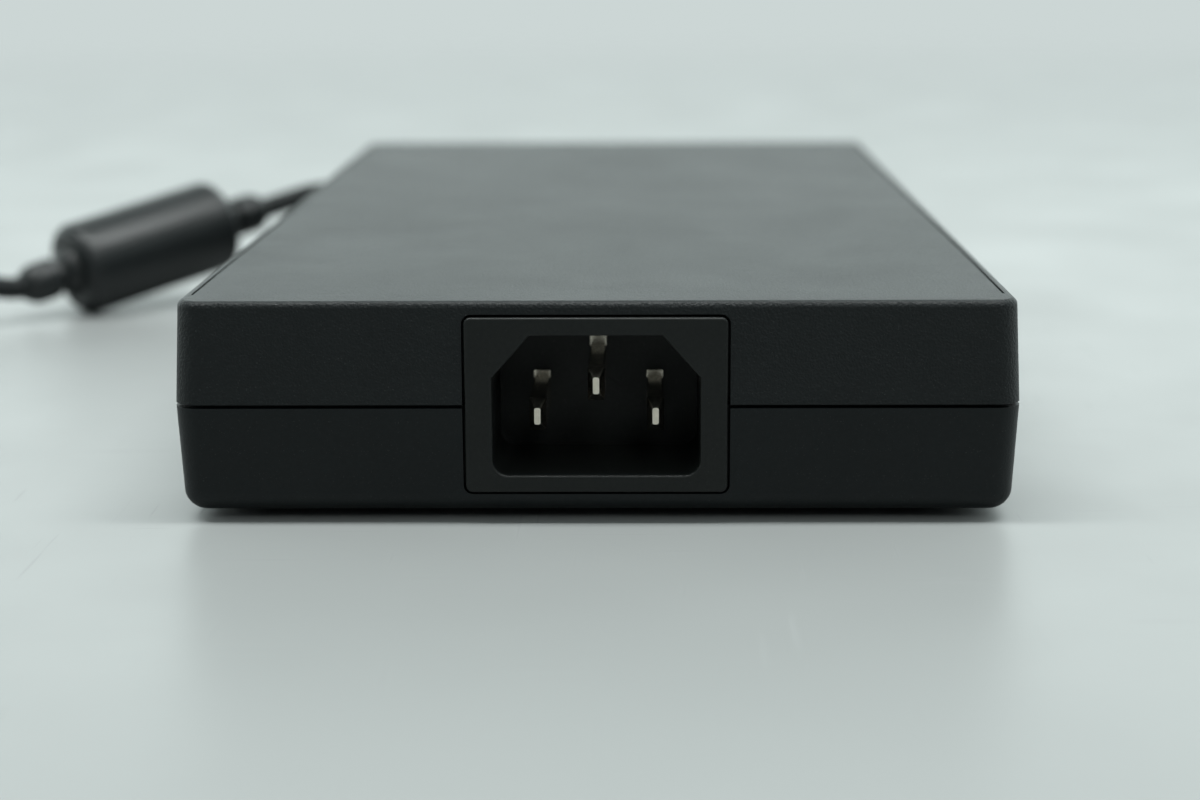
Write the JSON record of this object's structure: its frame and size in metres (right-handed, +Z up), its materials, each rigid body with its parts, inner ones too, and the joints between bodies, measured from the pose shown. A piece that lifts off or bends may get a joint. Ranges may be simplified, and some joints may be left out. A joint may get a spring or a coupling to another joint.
{
  "type": "laptop power adapter",
  "caption": "Slim black power adapter with a recessed earthed mains inlet and a captive output cable with ferrite sleeve, coil and barrel plug.",
  "frame": {"origin": "centre of the casing's footprint, on the plane its rubber feet rest on", "axes": "+Z up, out of the casing's top; +Y along the casing from the mains inlet end to the output cable end; +X to the right as seen facing the inlet"},
  "size_m": [0.2224, 0.2484, 0.0266],
  "materials": {
    "upper_shell_plastic": "coarse spark-eroded grain, matte",
    "lower_shell_plastic": "fine matte grain",
    "foot_rubber": "matte",
    "label_film": "satin film, blank",
    "inlet_plastic": "semi-matte moulded plastic",
    "nickel_plate": "bright nickel plate",
    "brown_insulation": "smooth insulation",
    "blue_insulation": "smooth insulation",
    "earth_insulation": "smooth insulation",
    "spreader_aluminium": "mill finish",
    "insulating_film": "translucent film",
    "board_laminate": "solder mask",
    "ceramic_body": "unglazed",
    "blue_coating": "dipped coating",
    "black_coating": "moulded epoxy",
    "film_box": "moulded box",
    "ferrite": "sintered, matte",
    "enamelled_copper": "enamelled wire",
    "capacitor_sleeve": "shrunk sleeve",
    "thermal_pad": "soft silicone",
    "relief_rubber": "satin moulding",
    "cable_jacket": "satin extruded jacket",
    "ferrite_moulding": "satin moulding",
    "plug_moulding": "satin moulding",
    "plug_insulator": "moulded"
  },
  "bodies": {
    "adapter": {"top_shell": "upper_shell_plastic", "bottom_shell": "lower_shell_plastic", "rubber_feet": "foot_rubber", "rating_label": "label_film", "inlet_housing": "inlet_plastic", "line_pin": "nickel_plate", "neutral_pin": "nickel_plate", "earth_pin": "nickel_plate", "line_wire": "brown_insulation", "neutral_wire": "blue_insulation", "earth_wire": "earth_insulation", "lower_heat_spreader": "spreader_aluminium", "upper_heat_spreader": "spreader_aluminium", "lower_insulator": "insulating_film", "upper_insulator": "insulating_film", "main_board": "board_laminate", "fuse": "ceramic_body", "varistor": "blue_coating", "inrush_thermistor": "black_coating", "x_capacitors": "film_box", "y_capacitors": "blue_coating", "common_mode_choke_cores": "ferrite", "common_mode_choke_windings": "enamelled_copper", "bridge_rectifier": "black_coating", "pfc_choke_core": "ferrite", "pfc_choke_winding": "enamelled_copper", "pfc_heat_sink": "spreader_aluminium", "pfc_transistors": "black_coating", "bulk_capacitors": "capacitor_sleeve", "resonant_capacitors": "film_box", "transformer_core": "ferrite", "transformer_bobbin": "black_coating", "transformer_windings": "enamelled_copper", "primary_heat_sink": "spreader_aluminium", "primary_transistors": "black_coating", "optocouplers": "black_coating", "controller_chips": "black_coating", "rectifier_transistors": "black_coating", "output_capacitors": "capacitor_sleeve", "output_choke_core": "ferrite", "output_choke_winding": "enamelled_copper", "output_leads": "brown_insulation", "thermal_pads": "thermal_pad", "exit_relief_base": "relief_rubber"},
    "relief_ring": {"exit_relief_ring": "relief_rubber"},
    "exit_run": {"exit_relief_tip": "relief_rubber", "cable_to_ferrite": "cable_jacket"},
    "ferrite": {"ferrite_overmould": "ferrite_moulding", "ferrite_core": "ferrite", "cable_through_ferrite": "cable_jacket"},
    "link": {"cable_link": "cable_jacket"},
    "coil": {"coiled_cable": "cable_jacket"},
    "plug_relief": {"plug_relief_ring": "relief_rubber"},
    "plug": {"plug_overmould": "plug_moulding", "plug_barrel": "nickel_plate", "plug_insulator": "plug_insulator", "plug_inner_sleeve": "nickel_plate", "plug_signal_pin": "nickel_plate"}
  },
  "joints": [
    {"name": "exit_bend_1", "type": "hinge", "parent": "adapter", "child": "relief_ring", "pos_m": [-0.025, 0.1034, 0.01417], "axis": [0, 0, 1], "range_deg": [-20, 3]},
    {"name": "exit_bend_2", "type": "hinge", "parent": "relief_ring", "child": "exit_run", "pos_m": [-0.025, 0.1114, 0.01417], "axis": [0, 0, 1], "range_deg": [-20, 3]},
    {"name": "ferrite_lift", "type": "hinge", "parent": "exit_run", "child": "ferrite", "pos_m": [-0.0639, 0.07805, 0.01718], "axis": [-0.6561, 0.7547, 0], "range_deg": [0, 20]},
    {"name": "ferrite_bend_1", "type": "hinge", "parent": "ferrite", "child": "link", "pos_m": [-0.10958, 0.03834, 0.00519], "axis": [0, 0, 1], "range_deg": [-16, 6]},
    {"name": "ferrite_bend_2", "type": "hinge", "parent": "link", "child": "coil", "pos_m": [-0.11743, 0.03399, 0.00449], "axis": [0, 0, 1], "range_deg": [-16, 6]},
    {"name": "plug_bend_1", "type": "hinge", "parent": "coil", "child": "plug_relief", "pos_m": [-0.1529, -0.0665, 0.006], "axis": [0, 0, 1], "range_deg": [-15, 15]},
    {"name": "plug_bend_2", "type": "hinge", "parent": "plug_relief", "child": "plug", "pos_m": [-0.1529, -0.0735, 0.006], "axis": [0, 0, 1], "range_deg": [-15, 15]}
  ],
  "couplings": [
    {"joint": "exit_bend_2", "follows": "exit_bend_1", "ratio": 1},
    {"joint": "ferrite_bend_2", "follows": "ferrite_bend_1", "ratio": 1},
    {"joint": "plug_bend_2", "follows": "plug_bend_1", "ratio": 1}
  ]
}
